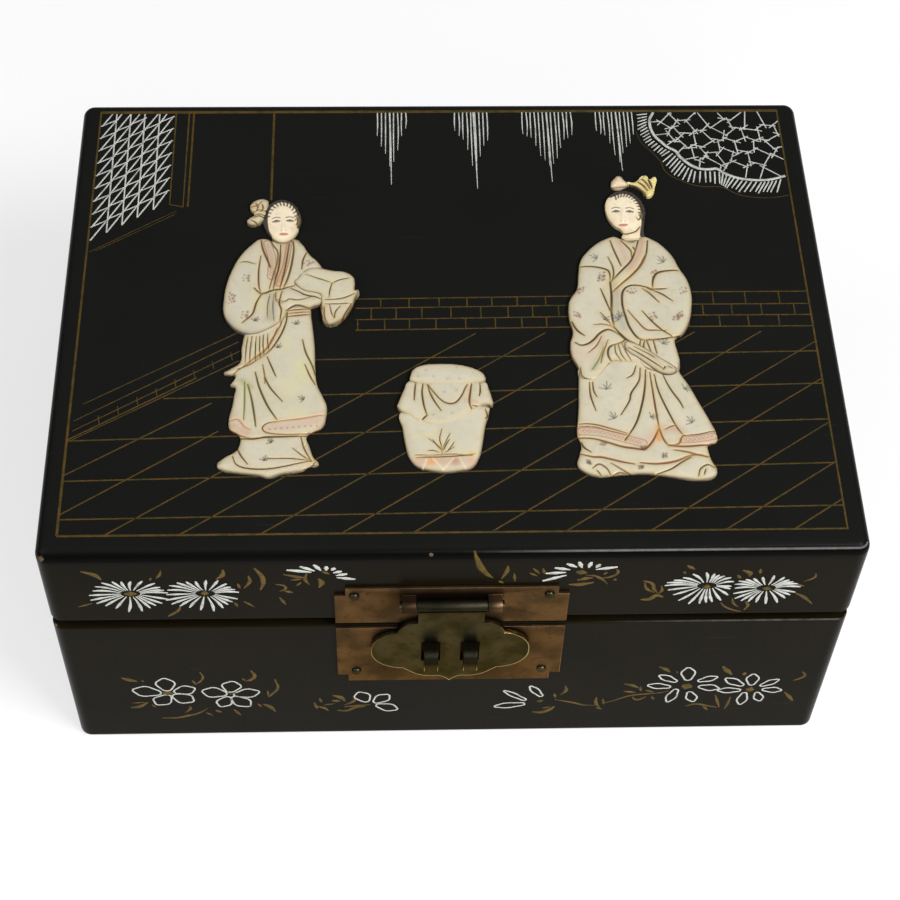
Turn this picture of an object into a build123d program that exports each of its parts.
from build123d import *
import os

os.makedirs("parts", exist_ok=True)

# Lacquered case. X runs along the front, Y from front to back, Z up from the underside.
BOX_WIDTH = 200.0
BOX_DEPTH = 151.0
BOX_HEIGHT = 57.3
SEAM_GAP = 3.4
LID_HEIGHT = 29.3
WALL = 6.0
BASE_THICKNESS = 4.0
LID_PANEL_THICKNESS = 5.0
CORNER_RADIUS = 3.2
LID_TOP_RADIUS = 2.9
FOOT_RADIUS = 1.5
ARRIS_RADIUS = 0.5

# Thin boards that line the case. In the box they stand above the wall and carry the closed lid.
LINING_THICKNESS = 2.0
LIP_CLEARANCE = 0.15
FLOOR_PAD_THICKNESS = 3.0
FLOOR_PAD_CLEARANCE = 0.5

# Looking glass under the lid panel
MIRROR_END_MARGIN = 8.0
MIRROR_SIDE_MARGIN = 7.6
MIRROR_THICKNESS = 1.8
MIRROR_FRAME_BORDER = 9.0
MIRROR_FRAME_THICKNESS = 2.8
MIRROR_CLEARANCE = 0.1

# Butt hinges, screwed on the edges of the back boards without mortises
HINGE_END_INSET = 40.0
HINGE_LENGTH = 28.0
HINGE_SETBACK = 1.5
HINGE_BARREL_CLEARANCE = 0.15
HINGE_CENTRE_KNUCKLE = 12.0
HINGE_LEAF_THICKNESS = 0.9
HINGE_LEAF_CLEARANCE = 0.2
HINGE_PIN_RADIUS = 0.8
HINGE_PIN_HEAD = 0.5
HINGE_SCREW_SPACING = 19.0
HINGE_SCREW_RADIUS = 0.6
HINGE_SCREW_HEAD_RADIUS = 1.1
HINGE_SCREW_HEAD_HEIGHT = 0.55
HINGE_SCREW_LENGTH = 7.0

# Fits that all metalwork shares
KNUCKLE_GAP = 0.2
RUNNING_CLEARANCE = 0.05
FASTENER_CLEARANCE = 0.05

# Clasp on the front
CLASP_X = -0.5
PLATE_WIDTH = 57.6
PLATE_THICKNESS = 0.8
UPPER_PLATE_HEIGHT = 15.9
UPPER_PLATE_DROP = 1.1
LOWER_PLATE_HEIGHT = 26.5
LOWER_PLATE_INSET = 0.3
PLATE_NOTCH_WIDTH = 2.7
PLATE_NOTCH_HEIGHT = 3.2
NAIL_SPACING = 47.8
NAIL_INSET_UPPER = 3.1
NAIL_INSET_LOWER = 5.5
NAIL_HEAD_RADIUS = 1.25
NAIL_HEAD_HEIGHT = 1.0
NAIL_SHANK_RADIUS = 0.5
NAIL_LENGTH = 5.0

# Hasp that swings on the upper plate
HASP_AXIS_RISE = 9.9
HASP_BARREL_RADIUS = 1.8
HASP_BARREL_STANDOFF = 0.2
HASP_BARREL_LENGTH = 17.2
HASP_LUG_LENGTH = 3.5
HASP_PIN_RADIUS = 0.8
HASP_PIN_HEAD = 0.5
HASP_THICKNESS = 1.2
HASP_STANDOFF = 0.5
HASP_NECK_WIDTH = 16.4
HASP_WIDTH = 40.0
HASP_DROP = 37.5

# Two strap staples on the lower plate, over which the hasp drops
STAPLE_SPACING = 9.9
STAPLE_WIDTH = 3.6
STAPLE_THICKNESS = 1.0
STAPLE_HEIGHT = 8.2
STAPLE_REACH = 7.0
STAPLE_BELOW_AXIS = 22.5
STAPLE_ROOT = 4.5
STAPLE_BEND_RADIUS = 2.4
STAPLE_HASP_CLEARANCE = 0.6

# Lift-out tray
TRAY_HEIGHT = 16.0
TRAY_BELOW_WALL = 1.8
TRAY_SIDE_CLEARANCE = 0.8
TRAY_WALL = 3.0
TRAY_FLOOR = 2.0
TRAY_DIVIDER = 2.0
TRAY_DIVIDER_DROP = 1.5
TRAY_REST_WIDTH = 3.0
TRAY_REST_HEIGHT = 4.0
TRAY_REST_LENGTH = 122.0
RING_SECTION = 57.0
RING_ROLLS = 5
RING_ROLL_HEIGHT = 10.0
RING_ROLL_GAP = 0.5
SMALL_SECTION = 48.0
TAB_WIDTH = 12.0
TAB_THICKNESS = 0.8
TAB_LENGTH = 12.0
TAB_RISE = 3.6

# Carved overlay on the lid; each figure stands on a foot point, set in from the lid's front edge
OVERLAY_THICKNESS = 1.7
OVERLAY_EDGE = 0.45
ATTENDANT_X = -44.7
ATTENDANT_FOOT_INSET = 22.0
ATTENDANT_HEIGHT = 92.5
STOOL_X = -1.5
STOOL_FOOT_INSET = 23.0
STOOL_HEIGHT = 33.8
LADY_X = 47.9
LADY_FOOT_INSET = 20.5
LADY_HEIGHT = 101.6

# Heights and faces that follow from the sizes above
LID_LOW = BOX_HEIGHT + SEAM_GAP
LID_TOP = LID_LOW + LID_HEIGHT
LID_PANEL_LOW = LID_TOP - LID_PANEL_THICKNESS
FRONT = -BOX_DEPTH / 2
BACK = BOX_DEPTH / 2
INNER_X = BOX_WIDTH / 2 - WALL
INNER_Y = BOX_DEPTH / 2 - WALL
LINED_X = INNER_X - LINING_THICKNESS
LINED_Y = INNER_Y - LINING_THICKNESS


def write_part(name, *solids):
    """Write one sub-part; several solids are a set of equal pieces."""
    shape = solids[0] if len(solids) == 1 else Compound(children=list(solids))
    export_step(shape, f"parts/{name}.step")


def block(x_low, x_high, y_low, y_high, z_low, z_high):
    """A rectangular board between two corners."""
    size = (x_high - x_low, y_high - y_low, z_high - z_low)
    return Pos(x_low, y_low, z_low) * Box(*size, align=(Align.MIN, Align.MIN, Align.MIN))


def rod_x(x_low, x_high, y, z, radius):
    """A round bar along X."""
    bar = Cylinder(radius, x_high - x_low, align=(Align.CENTER, Align.CENTER, Align.MIN))
    return Pos(x_low, y, z) * Rot(0, 90, 0) * bar


def rod_z(x, y, z_low, z_high, radius):
    """A round bar along Z."""
    bar = Cylinder(radius, z_high - z_low, align=(Align.CENTER, Align.CENTER, Align.MIN))
    return Pos(x, y, z_low) * bar


def case_form(z_low, z_high, low_radius, top_radius):
    """The outer form of the box or the lid, rounded in plan and eased at both rims."""
    form = extrude(RectangleRounded(BOX_WIDTH, BOX_DEPTH, CORNER_RADIUS), z_high - z_low)
    form = fillet(form.faces().sort_by(Axis.Z)[-1].edges(), top_radius)
    form = fillet(form.faces().sort_by(Axis.Z)[0].edges(), low_radius)
    return Pos(0, 0, z_low) * form


def wall_boards(form, z_low, z_high):
    """Four walls cut from the outer form: front and back run the full width."""
    half_x = BOX_WIDTH / 2
    return {
        "front_board": form & block(-half_x, half_x, FRONT, -INNER_Y, z_low, z_high),
        "back_board": form & block(-half_x, half_x, INNER_Y, BACK, z_low, z_high),
        "left_board": form & block(-half_x, -INNER_X, -INNER_Y, INNER_Y, z_low, z_high),
        "right_board": form & block(INNER_X, half_x, -INNER_Y, INNER_Y, z_low, z_high),
    }


def lining_boards(z_low, z_high):
    """Four thin boards against the insides of the walls."""
    return {
        "front": block(-INNER_X, INNER_X, -INNER_Y, -LINED_Y, z_low, z_high),
        "back": block(-INNER_X, INNER_X, LINED_Y, INNER_Y, z_low, z_high),
        "left": block(-INNER_X, -LINED_X, -LINED_Y, LINED_Y, z_low, z_high),
        "right": block(LINED_X, INNER_X, -LINED_Y, LINED_Y, z_low, z_high),
    }


# Butt hinges
pivot_y = BACK - HINGE_SETBACK
pivot_z = BOX_HEIGHT + SEAM_GAP / 2
hinge_barrel_radius = SEAM_GAP / 2 - HINGE_BARREL_CLEARANCE
hinge_bore_radius = HINGE_PIN_RADIUS + RUNNING_CLEARANCE
leaf_front = INNER_Y + HINGE_LEAF_CLEARANCE
leaf_back = pivot_y - hinge_barrel_radius - HINGE_LEAF_CLEARANCE
hinge_screw_y = (leaf_front + leaf_back) / 2
hinge_offset = BOX_WIDTH / 2 - HINGE_END_INSET
hinge_centres = (-hinge_offset, hinge_offset)
outer_knuckle_start = HINGE_CENTRE_KNUCKLE / 2 + KNUCKLE_GAP


def hinge_leaf(centre, z_low, knuckles):
    """A leaf on the edge of a board, with a tab that curls into each of its knuckles."""
    half = HINGE_LENGTH / 2
    z_high = z_low + HINGE_LEAF_THICKNESS
    leaf = block(centre - half, centre + half, leaf_front, leaf_back, z_low, z_high)
    for start, end in knuckles:
        leaf += block(centre + start, centre + end, leaf_back, pivot_y, z_low, z_high)
        leaf += rod_x(centre + start, centre + end, pivot_y, pivot_z, hinge_barrel_radius)
    leaf -= rod_x(centre - half, centre + half, pivot_y, pivot_z, hinge_bore_radius)
    for x in hinge_screw_places(centre):
        leaf -= rod_z(x, hinge_screw_y, z_low, z_high, HINGE_SCREW_RADIUS + FASTENER_CLEARANCE)
    return leaf


def hinge_screw_places(centre):
    """The two screws of a leaf along X."""
    return (centre - HINGE_SCREW_SPACING / 2, centre + HINGE_SCREW_SPACING / 2)


def hinge_screw(x, upward):
    """A round-headed screw through a leaf into the edge of the back board."""
    shank = HINGE_SCREW_LENGTH - HINGE_SCREW_HEAD_HEIGHT
    head = Cylinder(HINGE_SCREW_HEAD_RADIUS, HINGE_SCREW_HEAD_HEIGHT,
                    align=(Align.CENTER, Align.CENTER, Align.MIN))
    head = fillet(head.edges().sort_by(Axis.Z)[-1], HINGE_SCREW_HEAD_HEIGHT * 0.8)
    screw = head + rod_z(0, 0, -shank, 0, HINGE_SCREW_RADIUS)
    if upward:
        return Pos(x, hinge_screw_y, LID_LOW - HINGE_LEAF_THICKNESS) * Rot(180, 0, 0) * screw
    return Pos(x, hinge_screw_y, BOX_HEIGHT + HINGE_LEAF_THICKNESS) * screw


def hinge_pin(centre):
    """A pin with a small head against each outer knuckle."""
    half = HINGE_LENGTH / 2
    head_radius = (HINGE_PIN_RADIUS + hinge_barrel_radius) / 2
    pin = rod_x(centre - half, centre + half, pivot_y, pivot_z, HINGE_PIN_RADIUS)
    pin += rod_x(centre - half - HINGE_PIN_HEAD, centre - half, pivot_y, pivot_z, head_radius)
    pin += rod_x(centre + half, centre + half + HINGE_PIN_HEAD, pivot_y, pivot_z, head_radius)
    return pin


box_screws = []
lid_screws = []
for side, centre in zip(("left", "right"), hinge_centres):
    half = HINGE_LENGTH / 2
    outer_knuckles = ((-half, -outer_knuckle_start), (outer_knuckle_start, half))
    centre_knuckle = ((-HINGE_CENTRE_KNUCKLE / 2, HINGE_CENTRE_KNUCKLE / 2),)
    write_part(f"hinge_{side}_box_leaf", hinge_leaf(centre, BOX_HEIGHT, outer_knuckles))
    lid_leaf_low = LID_LOW - HINGE_LEAF_THICKNESS
    write_part(f"hinge_{side}_lid_leaf", hinge_leaf(centre, lid_leaf_low, centre_knuckle))
    write_part(f"hinge_{side}_pin", hinge_pin(centre))
    for x in hinge_screw_places(centre):
        box_screws.append(hinge_screw(x, upward=False))
        lid_screws.append(hinge_screw(x, upward=True))
write_part("hinge_screws_box", *box_screws)
write_part("hinge_screws_lid", *lid_screws)

# Clasp
plate_face = FRONT - PLATE_THICKNESS
upper_plate_low = LID_LOW - UPPER_PLATE_DROP
upper_plate_high = upper_plate_low + UPPER_PLATE_HEIGHT
lower_plate_high = BOX_HEIGHT - LOWER_PLATE_INSET
lower_plate_low = lower_plate_high - LOWER_PLATE_HEIGHT
hasp_axis_z = LID_LOW + HASP_AXIS_RISE
hasp_axis_y = plate_face - HASP_BARREL_STANDOFF - HASP_BARREL_RADIUS
upper_nail_z = upper_plate_high - NAIL_INSET_UPPER
lower_nail_z = lower_plate_low + NAIL_INSET_LOWER
nail_places = (CLASP_X - NAIL_SPACING / 2, CLASP_X + NAIL_SPACING / 2)
staple_z = hasp_axis_z - STAPLE_BELOW_AXIS
staple_places = (CLASP_X - STAPLE_SPACING / 2, CLASP_X + STAPLE_SPACING / 2)


def clasp_plate(z_low, z_high, notch_low):
    """A flat plate with a square notch in both corners of its outer end."""
    half = PLATE_WIDTH / 2
    plate = block(CLASP_X - half, CLASP_X + half, plate_face, FRONT, z_low, z_high)
    for x in (CLASP_X - half, CLASP_X + half - PLATE_NOTCH_WIDTH):
        plate -= block(x, x + PLATE_NOTCH_WIDTH, plate_face, FRONT,
                       notch_low, notch_low + PLATE_NOTCH_HEIGHT)
    return plate


def nail_hole(x, z, length):
    """Clearance for a nail's shank, from the plate's face into the wood."""
    radius = NAIL_SHANK_RADIUS + FASTENER_CLEARANCE
    return Pos(x, plate_face, z) * Rot(-90, 0, 0) * rod_z(0, 0, 0, length, radius)


def nail(x, z):
    """A round-headed nail whose head bears on the plate."""
    head = Cylinder(NAIL_HEAD_RADIUS, NAIL_HEAD_HEIGHT,
                    align=(Align.CENTER, Align.CENTER, Align.MIN))
    head = fillet(head.edges().sort_by(Axis.Z)[-1], NAIL_HEAD_HEIGHT * 0.85)
    body = head + rod_z(0, 0, -NAIL_LENGTH, 0, NAIL_SHANK_RADIUS)
    return Pos(x, plate_face, z) * Rot(90, 0, 0) * body


def staple_block(x, grow, inset, y_back):
    """The outside of a staple grown by a clearance, or its inside where inset is set."""
    half_x = STAPLE_WIDTH / 2 + grow
    half_z = STAPLE_HEIGHT / 2 + grow - inset
    return block(x - half_x, x + half_x, FRONT - STAPLE_REACH + inset, y_back,
                 staple_z - half_z, staple_z + half_z)


def staple(x):
    """A strap bent into a narrow U, with both legs clenched in the front board."""
    y_back = FRONT + STAPLE_ROOT
    outside = staple_block(x, 0, 0, y_back)
    bends = outside.edges().filter_by(Axis.X).sort_by(Axis.Y)[:2]
    outside = fillet(bends, STAPLE_BEND_RADIUS)
    inside = staple_block(x, 0, STAPLE_THICKNESS, y_back)
    bends = inside.edges().filter_by(Axis.X).sort_by(Axis.Y)[:2]
    inside = fillet(bends, STAPLE_BEND_RADIUS - STAPLE_THICKNESS)
    return outside - inside


def staple_leg_slots(x, y_front, y_back):
    """Slots for the two legs, cut in what they pass through."""
    half_x = STAPLE_WIDTH / 2 + FASTENER_CLEARANCE
    slots = []
    for side in (-1, 1):
        z = staple_z + side * (STAPLE_HEIGHT - STAPLE_THICKNESS) / 2
        half_z = STAPLE_THICKNESS / 2 + FASTENER_CLEARANCE
        slots.append(block(x - half_x, x + half_x, y_front, y_back, z - half_z, z + half_z))
    return slots


def hasp_lug(side):
    """A fixed knuckle on the upper plate, beside the end of the hasp's barrel."""
    start = HASP_BARREL_LENGTH / 2 + KNUCKLE_GAP
    ends = sorted((CLASP_X + side * start, CLASP_X + side * (start + HASP_LUG_LENGTH)))
    lug = rod_x(*ends, hasp_axis_y, hasp_axis_z, HASP_BARREL_RADIUS)
    lug += block(*ends, hasp_axis_y, plate_face,
                 hasp_axis_z - HASP_BARREL_RADIUS, hasp_axis_z + HASP_BARREL_RADIUS)
    return lug


def hasp_point(across, down):
    """A point of the hasp's outline, as shares of its half width and of its drop below the pin."""
    return (across * HASP_WIDTH / 2, -down * HASP_DROP)


def hasp_outline():
    """Half of the cloud-shaped outline, right of the middle, from the barrel to the tip."""
    neck_top = (HASP_NECK_WIDTH / 2, 0)
    neck_end = (HASP_NECK_WIDTH / 2, -0.24 * HASP_DROP)
    shoulder = hasp_point(0.673, 0.367)
    widest = hasp_point(1.0, 0.582)
    lobe_end = hasp_point(0.604, 0.821)
    small_lobe = hasp_point(0.49, 0.878)
    cusp = hasp_point(0.168, 0.931)
    tip = (0, -HASP_DROP)
    return [
        Line((0, 0), neck_top),
        Line(neck_top, neck_end),
        ThreePointArc(neck_end, hasp_point(0.60, 0.281), shoulder),
        ThreePointArc(shoulder, hasp_point(0.921, 0.444), widest),
        ThreePointArc(widest, hasp_point(0.901, 0.747), lobe_end),
        Line(lobe_end, small_lobe),
        ThreePointArc(small_lobe, hasp_point(0.342, 0.926), cusp),
        ThreePointArc(cusp, hasp_point(0.064, 0.957), tip),
        Line(tip, (0, 0)),
    ]


def hasp():
    """The swinging sheet: barrel, neck and cloud-shaped blade with a slot for each staple."""
    half_blade = make_face(Curve() + hasp_outline())
    blade = half_blade + mirror(half_blade, Plane.YZ)
    back_y = plate_face - HASP_STANDOFF
    sheet = Plane(origin=(CLASP_X, back_y, hasp_axis_z), x_dir=(1, 0, 0), z_dir=(0, -1, 0))
    body = extrude(sheet * blade, HASP_THICKNESS)
    half = HASP_BARREL_LENGTH / 2
    body += rod_x(CLASP_X - half, CLASP_X + half, hasp_axis_y, hasp_axis_z, HASP_BARREL_RADIUS)
    bore = HASP_PIN_RADIUS + RUNNING_CLEARANCE
    body -= rod_x(CLASP_X - half, CLASP_X + half, hasp_axis_y, hasp_axis_z, bore)
    for x in staple_places:
        body -= staple_block(x, STAPLE_HASP_CLEARANCE, 0, plate_face)
    return body


def hasp_pin():
    """The pin through both lugs and the barrel, with a head at each end."""
    half = HASP_BARREL_LENGTH / 2 + KNUCKLE_GAP + HASP_LUG_LENGTH
    head_radius = (HASP_PIN_RADIUS + HASP_BARREL_RADIUS) / 2
    pin = rod_x(CLASP_X - half, CLASP_X + half, hasp_axis_y, hasp_axis_z, HASP_PIN_RADIUS)
    for end in (CLASP_X - half - HASP_PIN_HEAD, CLASP_X + half):
        pin += rod_x(end, end + HASP_PIN_HEAD, hasp_axis_y, hasp_axis_z, head_radius)
    return pin


upper_plate = clasp_plate(upper_plate_low, upper_plate_high, upper_plate_high - PLATE_NOTCH_HEIGHT)
upper_plate += hasp_lug(-1)
upper_plate += hasp_lug(1)
pin_reach = HASP_BARREL_LENGTH / 2 + KNUCKLE_GAP + HASP_LUG_LENGTH
upper_plate -= rod_x(CLASP_X - pin_reach, CLASP_X + pin_reach, hasp_axis_y, hasp_axis_z,
                     HASP_PIN_RADIUS + RUNNING_CLEARANCE)
lower_plate = clasp_plate(lower_plate_low, lower_plate_high, lower_plate_low)
for x in nail_places:
    upper_plate -= nail_hole(x, upper_nail_z, PLATE_THICKNESS)
    lower_plate -= nail_hole(x, lower_nail_z, PLATE_THICKNESS)
for x in staple_places:
    for slot in staple_leg_slots(x, plate_face, FRONT):
        lower_plate -= slot
write_part("clasp_upper_plate", upper_plate)
write_part("clasp_lower_plate", lower_plate)
write_part("clasp_hasp", hasp())
write_part("clasp_hasp_pin", hasp_pin())
write_part("clasp_staples", *[staple(x) for x in staple_places])
write_part("clasp_nails_lid", *[nail(x, upper_nail_z) for x in nail_places])
write_part("clasp_nails_box", *[nail(x, lower_nail_z) for x in nail_places])

# Box case, with its metalwork's holes
box_form = case_form(0, BOX_HEIGHT, FOOT_RADIUS, ARRIS_RADIUS)
half_x = BOX_WIDTH / 2
write_part("box_base_panel", box_form & block(-half_x, half_x, FRONT, BACK, 0, BASE_THICKNESS))
box_walls = wall_boards(box_form, BASE_THICKNESS, BOX_HEIGHT)
for x in nail_places:
    box_walls["front_board"] -= nail_hole(x, lower_nail_z, NAIL_LENGTH)
for x in staple_places:
    for slot in staple_leg_slots(x, FRONT, FRONT + STAPLE_ROOT):
        box_walls["front_board"] -= slot
screw_depth = HINGE_SCREW_LENGTH - HINGE_SCREW_HEAD_HEIGHT - HINGE_LEAF_THICKNESS
for centre in hinge_centres:
    for x in hinge_screw_places(centre):
        box_walls["back_board"] -= rod_z(x, hinge_screw_y, BOX_HEIGHT - screw_depth, BOX_HEIGHT,
                                         HINGE_SCREW_RADIUS + FASTENER_CLEARANCE)
for name, board in box_walls.items():
    write_part(f"box_{name}", board)

for name, board in lining_boards(BASE_THICKNESS, LID_LOW - LIP_CLEARANCE).items():
    write_part(f"box_lining_{name}", board)

pad_x = LINED_X - FLOOR_PAD_CLEARANCE
pad_y = LINED_Y - FLOOR_PAD_CLEARANCE
floor_pad = block(-pad_x, pad_x, -pad_y, pad_y, BASE_THICKNESS, BASE_THICKNESS + FLOOR_PAD_THICKNESS)
floor_pad = fillet(floor_pad.faces().sort_by(Axis.Z)[-1].edges(), FLOOR_PAD_THICKNESS * 0.4)
write_part("box_floor_pad", floor_pad)

# Lid case
lid_form = case_form(LID_LOW, LID_TOP, ARRIS_RADIUS, LID_TOP_RADIUS)
write_part("lid_top_panel", lid_form & block(-half_x, half_x, FRONT, BACK, LID_PANEL_LOW, LID_TOP))
lid_walls = wall_boards(lid_form, LID_LOW, LID_PANEL_LOW)
for x in nail_places:
    lid_walls["front_board"] -= nail_hole(x, upper_nail_z, NAIL_LENGTH)
for centre in hinge_centres:
    for x in hinge_screw_places(centre):
        lid_walls["back_board"] -= rod_z(x, hinge_screw_y, LID_LOW, LID_LOW + screw_depth,
                                         HINGE_SCREW_RADIUS + FASTENER_CLEARANCE)
for name, board in lid_walls.items():
    write_part(f"lid_{name}", board)

for name, board in lining_boards(LID_LOW, LID_PANEL_LOW).items():
    write_part(f"lid_lining_{name}", board)

frame_x = LINED_X - MIRROR_END_MARGIN
frame_y = LINED_Y - MIRROR_SIDE_MARGIN
mirror_x = frame_x - MIRROR_FRAME_BORDER
mirror_y = frame_y - MIRROR_FRAME_BORDER
write_part("lid_mirror", block(-mirror_x, mirror_x, -mirror_y, mirror_y,
                               LID_PANEL_LOW - MIRROR_THICKNESS, LID_PANEL_LOW))
frame_low = LID_PANEL_LOW - MIRROR_FRAME_THICKNESS
mirror_frame = block(-frame_x, frame_x, -frame_y, frame_y, frame_low, LID_PANEL_LOW)
mirror_frame = chamfer(mirror_frame.faces().sort_by(Axis.Z)[0].edges(), MIRROR_FRAME_THICKNESS / 3)
sight_x = mirror_x + MIRROR_CLEARANCE
sight_y = mirror_y + MIRROR_CLEARANCE
mirror_frame -= block(-sight_x, sight_x, -sight_y, sight_y, frame_low, LID_PANEL_LOW)
write_part("lid_mirror_frame", mirror_frame)

# Tray
tray_x = LINED_X - TRAY_SIDE_CLEARANCE
tray_y = LINED_Y - TRAY_SIDE_CLEARANCE
tray_inner_x = tray_x - TRAY_WALL
tray_inner_y = tray_y - TRAY_WALL
tray_top = BOX_HEIGHT - TRAY_BELOW_WALL
tray_bottom = tray_top - TRAY_HEIGHT
tray_floor_top = tray_bottom + TRAY_FLOOR
divider_top = tray_top - TRAY_DIVIDER_DROP
rest_y = TRAY_REST_LENGTH / 2
rest_low = tray_bottom - TRAY_REST_HEIGHT
write_part("tray_rests",
           block(-LINED_X, -LINED_X + TRAY_REST_WIDTH, -rest_y, rest_y, rest_low, tray_bottom),
           block(LINED_X - TRAY_REST_WIDTH, LINED_X, -rest_y, rest_y, rest_low, tray_bottom))
write_part("tray_floor", block(-tray_x, tray_x, -tray_y, tray_y, tray_bottom, tray_floor_top))
write_part("tray_front_wall", block(-tray_x, tray_x, -tray_y, -tray_inner_y, tray_floor_top, tray_top))
write_part("tray_back_wall", block(-tray_x, tray_x, tray_inner_y, tray_y, tray_floor_top, tray_top))
write_part("tray_left_wall", block(-tray_x, -tray_inner_x, -tray_inner_y, tray_inner_y,
                                   tray_floor_top, tray_top))
write_part("tray_right_wall", block(tray_inner_x, tray_x, -tray_inner_y, tray_inner_y,
                                    tray_floor_top, tray_top))
ring_end = -tray_inner_x + RING_SECTION
cross_end = ring_end + TRAY_DIVIDER
write_part("tray_cross_divider", block(ring_end, cross_end, -tray_inner_y, tray_inner_y,
                                       tray_floor_top, divider_top))
small_start = tray_inner_x - SMALL_SECTION - TRAY_DIVIDER
write_part("tray_long_divider", block(cross_end, tray_inner_x, -TRAY_DIVIDER / 2, TRAY_DIVIDER / 2,
                                      tray_floor_top, divider_top))
write_part("tray_short_divider", block(small_start, small_start + TRAY_DIVIDER,
                                       TRAY_DIVIDER / 2, tray_inner_y, tray_floor_top, divider_top))

roll_pitch = RING_SECTION / RING_ROLLS
roll_width = roll_pitch - RING_ROLL_GAP
rolls = []
for index in range(RING_ROLLS):
    roll_x = -tray_inner_x + roll_pitch * index + RING_ROLL_GAP / 2
    roll = block(roll_x, roll_x + roll_width, -tray_inner_y + RING_ROLL_GAP,
                 tray_inner_y - RING_ROLL_GAP, tray_floor_top, tray_floor_top + RING_ROLL_HEIGHT)
    crown = roll.faces().sort_by(Axis.Z)[-1].edges().filter_by(Axis.Y)
    rolls.append(fillet(crown, roll_width * 0.45))
write_part("tray_ring_rolls", *rolls)

tabs = []
for tab_y in (-tray_inner_y, tray_inner_y - TAB_THICKNESS):
    tabs.append(block(-TAB_WIDTH / 2, TAB_WIDTH / 2, tab_y, tab_y + TAB_THICKNESS,
                      tray_top + TAB_RISE - TAB_LENGTH, tray_top + TAB_RISE))
write_part("tray_pull_tabs", *tabs)


def carving(outline, *above):
    """A flat carved piece glued on the lid, eased along its edge and cut round those above it."""
    piece = extrude(Pos(0, 0, LID_TOP) * outline, OVERLAY_THICKNESS)
    piece = chamfer(piece.faces().sort_by(Axis.Z)[-1].edges(), OVERLAY_EDGE)
    for other in above:
        piece -= extrude(Pos(0, 0, LID_TOP) * other, OVERLAY_THICKNESS)
    return piece


class Figure:
    """Draws in hundredths of a figure's height, from the middle of its foot on the lid's face."""

    def __init__(self, x, foot_inset, height):
        self.x = x
        self.foot_y = FRONT + foot_inset
        self.unit = height / 100

    def point(self, across, up):
        """A drawn point on the lid's face."""
        return (self.x + across * self.unit, self.foot_y + up * self.unit)

    def soft(self, *points):
        """A face inside one smooth closed curve."""
        return make_face(Spline(*[self.point(*p) for p in points], periodic=True))

    def sharp(self, *points):
        """A face with straight sides."""
        return make_face(Polyline(*[self.point(*p) for p in points], close=True))

    def oval(self, across, up, half_width, half_height):
        """An oval face."""
        return Pos(*self.point(across, up)) * Ellipse(half_width * self.unit, half_height * self.unit)

    def bar(self, across, up, turn, length, width, corner):
        """A straight bar with rounded corners."""
        size = (length * self.unit, width * self.unit)
        return Pos(*self.point(across, up)) * Rot(0, 0, turn) * RectangleRounded(*size, corner * self.unit)


# Attendant on the left, with a parcel on both hands
attendant = Figure(ATTENDANT_X, ATTENDANT_FOOT_INSET, ATTENDANT_HEIGHT)
attendant_head = attendant.oval(1.2, 90.9, 5.6, 8.2)
attendant_hair = attendant.oval(-6.3, 94.4, 3.2, 5.4)
attendant_parcel = attendant.soft(
    (5.7, 71.7), (13.6, 72.0), (19.5, 70.7), (22.4, 67.5), (23.4, 63.6),
    (21.3, 56.3), (18.4, 51.8), (14.9, 51.4), (13.3, 54.6), (12.5, 60.5), (6.6, 63.0))
attendant_jacket = attendant.soft(
    (-4.2, 84.2), (-8.7, 80.7), (-12.7, 72.8), (-14.4, 63.4), (-14.0, 53.6), (-9.0, 49.3),
    (-2.4, 49.5), (2.6, 54.6), (9.6, 58.6), (12.2, 62.3), (13.6, 72.1), (8.3, 80.0),
    (4.2, 83.4), (0.2, 81.5))
attendant_skirt = attendant.soft(
    (3.1, 58.6), (9.6, 59.0), (11.3, 50.3), (11.8, 35.0), (14.9, 23.0), (14.0, 16.6),
    (9.6, 13.7), (12.7, 4.8), (9.1, 2.2), (-0.3, 0.0), (-11.6, 1.7),
    (-13.8, 4.8), (-9.6, 9.0), (-9.4, 13.8), (-11.7, 18.6), (-10.5, 28.4),
    (-12.7, 35.4), (-8.5, 40.9), (-8.5, 49.2))
write_part("attendant_head", carving(attendant_head))
write_part("attendant_hair_flower", carving(attendant_hair, attendant_head))
write_part("attendant_parcel", carving(attendant_parcel))
write_part("attendant_jacket", carving(attendant_jacket, attendant_head, attendant_parcel))
write_part("attendant_skirt", carving(attendant_skirt, attendant_jacket, attendant_parcel))

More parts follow.
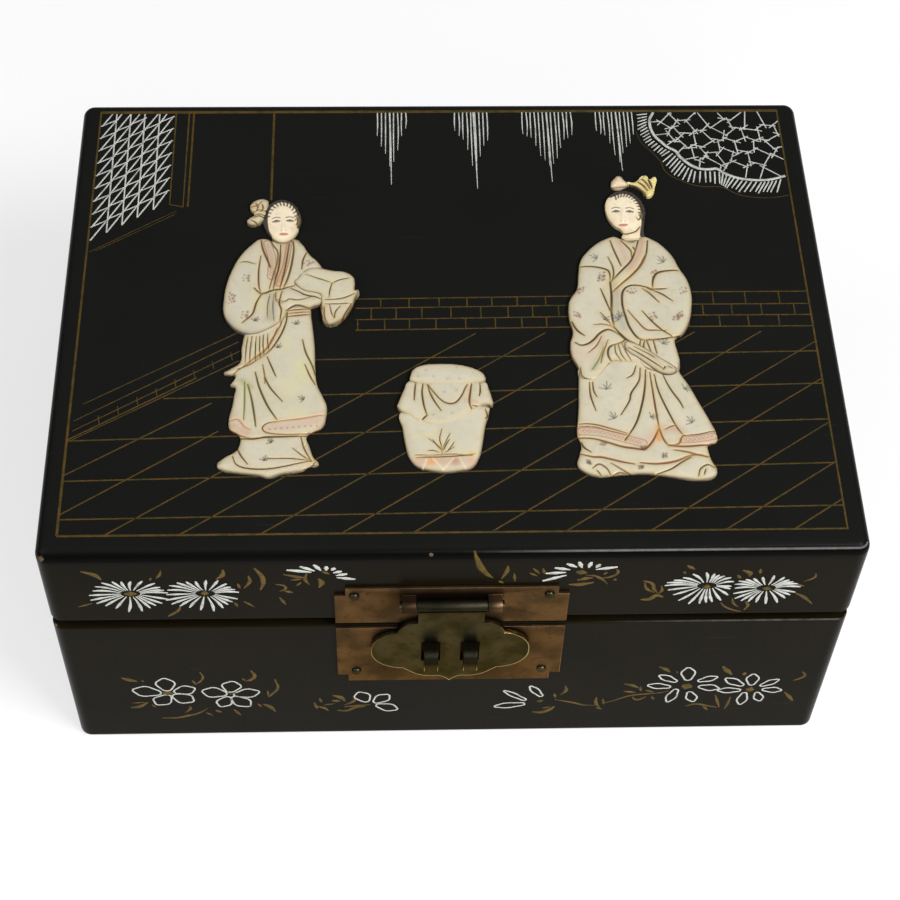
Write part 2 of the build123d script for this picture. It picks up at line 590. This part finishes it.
# Drum stool between the two figures
stool = Figure(STOOL_X, STOOL_FOOT_INSET, STOOL_HEIGHT)
stool_cushion = stool.oval(2.4, 90.1, 28.4, 9.9)
stool_cloth = stool.soft(
    (-25.4, 86.6), (-35.2, 62.7), (-30.1, 53.1), (-17.9, 46.3), (-0.3, 44.2), (15.2, 48.4),
    (25.4, 59.7), (35.5, 58.5), (34.9, 72.2), (29.6, 85.4), (4.5, 95.5))
stool_drum = stool.soft(
    (-32.2, 59.7), (-31.0, 31.3), (-24.8, 9.0), (-13.4, 1.5), (2.1, 0.0), (18.2, 5.4),
    (27.2, 22.4), (32.2, 59.7), (-1.5, 74.6))
write_part("stool_cushion", carving(stool_cushion))
write_part("stool_cloth", carving(stool_cloth, stool_cushion))
write_part("stool_drum", carving(stool_drum, stool_cushion, stool_cloth))

# Lady on the right, with a closed scroll
lady = Figure(LADY_X, LADY_FOOT_INSET, LADY_HEIGHT)
lady_head = lady.oval(1.3, 86.3, 5.9, 8.9)
lady_bun = lady.oval(0.2, 97.0, 2.3, 2.9)
lady_comb = lady.sharp(
    (2.9, 96.4), (5.0, 98.5), (7.4, 100.2), (10.0, 99.4), (9.4, 96.0), (7.8, 92.8), (5.6, 94.6))
lady_scroll = lady.bar(3.6, 37.7, -36, 17.5, 5.2, 1.6)
lady_robe = lady.soft(
    (-2.4, 77.7), (-8.4, 75.3), (-12.5, 69.0), (-14.3, 60.2), (-16.1, 54.2), (-16.7, 45.3),
    (-16.3, 36.9), (-14.3, 31.5), (-10.5, 31.9), (-6.4, 35.9), (1.6, 34.0), (7.2, 36.6),
    (10.9, 41.4), (14.3, 48.1), (16.0, 57.4), (13.7, 66.6), (10.1, 74.3),
    (6.2, 77.5), (1.8, 75.5))
lady_skirt = lady.soft(
    (-13.9, 32.7), (-15.3, 22.4), (-16.8, 13.4), (-16.3, 7.5), (-17.1, 3.1), (-12.2, 1.1),
    (-3.7, 1.0), (4.3, 0.9), (13.1, -0.1), (16.6, 2.9), (15.4, 7.3), (17.4, 12.6),
    (14.7, 21.6), (10.4, 31.0), (3.0, 37.0), (-6.0, 40.0))
write_part("lady_head", carving(lady_head))
write_part("lady_hair_ornaments", carving(lady_bun, lady_head), carving(lady_comb))
write_part("lady_scroll", carving(lady_scroll))
write_part("lady_robe", carving(lady_robe, lady_head, lady_scroll))
write_part("lady_skirt", carving(lady_skirt, lady_robe, lady_scroll))
